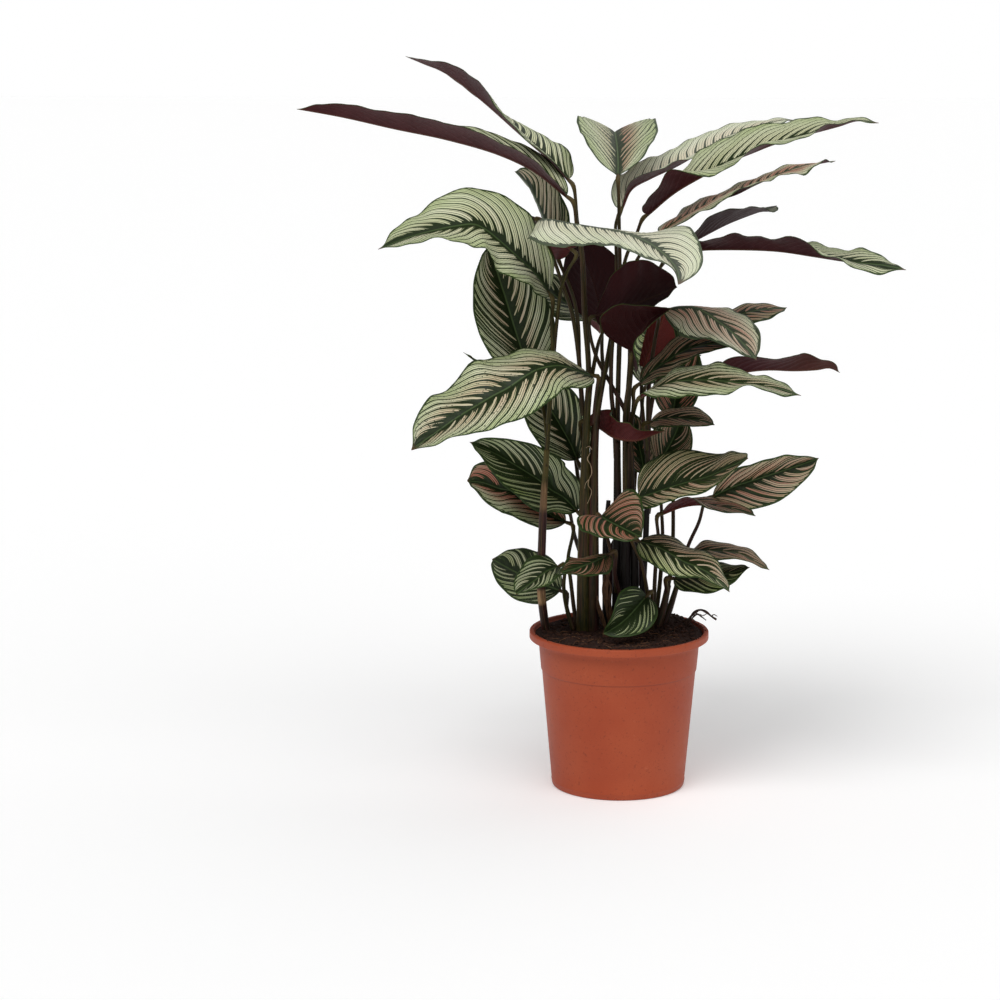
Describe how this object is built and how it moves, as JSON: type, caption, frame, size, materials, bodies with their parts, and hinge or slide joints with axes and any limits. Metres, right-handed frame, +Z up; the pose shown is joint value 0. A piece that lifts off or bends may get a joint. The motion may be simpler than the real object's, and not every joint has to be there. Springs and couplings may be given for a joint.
{
  "type": "potted prayer plant",
  "caption": "Calathea in a round terracotta-coloured plastic nursery pot: striped green, cream and pink leaves with purple undersides on tall stalks.",
  "frame": {"origin": "centre of the pot's flat base", "axes": "+Z up; -Y towards the picture's viewer; +X to the viewer's right"},
  "size_m": [0.6919, 0.5139, 0.8447],
  "materials": {
    "pot": "matte",
    "soil": "matte",
    "leaf": "satin",
    "stalk": "satin"
  },
  "bodies": {
    "root": {"pot": "pot", "soil": "soil", "stalks_left": "stalk", "stalks_main": "stalk", "stalks_centre": "stalk", "stalks_right": "stalk", "leaf_01": "leaf", "leaf_02": "leaf", "leaf_03": "leaf", "leaf_04": "leaf", "leaf_05": "leaf", "leaf_06": "leaf", "leaf_07": "leaf", "leaf_08": "leaf", "leaf_09": "leaf", "leaf_10": "leaf", "leaf_11": "leaf", "leaf_12": "leaf", "leaf_13": "leaf", "leaf_14": "leaf", "leaf_15": "leaf", "leaf_16": "leaf", "leaf_17": "leaf", "leaf_18": "leaf", "leaf_19": "leaf", "leaf_20": "leaf", "leaf_21": "leaf", "leaf_22": "leaf", "leaf_23": "leaf", "leaf_24": "leaf", "leaf_25": "leaf", "leaf_26": "leaf", "leaf_27": "leaf", "leaf_28": "leaf", "leaf_29": "leaf", "leaf_30": "leaf", "leaf_31": "leaf", "leaf_32": "leaf", "leaf_33": "leaf", "leaf_34": "leaf", "leaf_35": "leaf", "leaf_36": "leaf", "leaf_37": "leaf", "leaf_38": "leaf", "leaf_39": "leaf", "leaf_40": "leaf", "leaf_41": "leaf", "leaf_42": "leaf", "leaf_43": "leaf", "leaf_44": "leaf", "leaf_45": "leaf", "leaf_46": "leaf", "leaf_47": "leaf", "leaf_48": "leaf", "leaf_49": "leaf"}
  },
  "joints": []
}
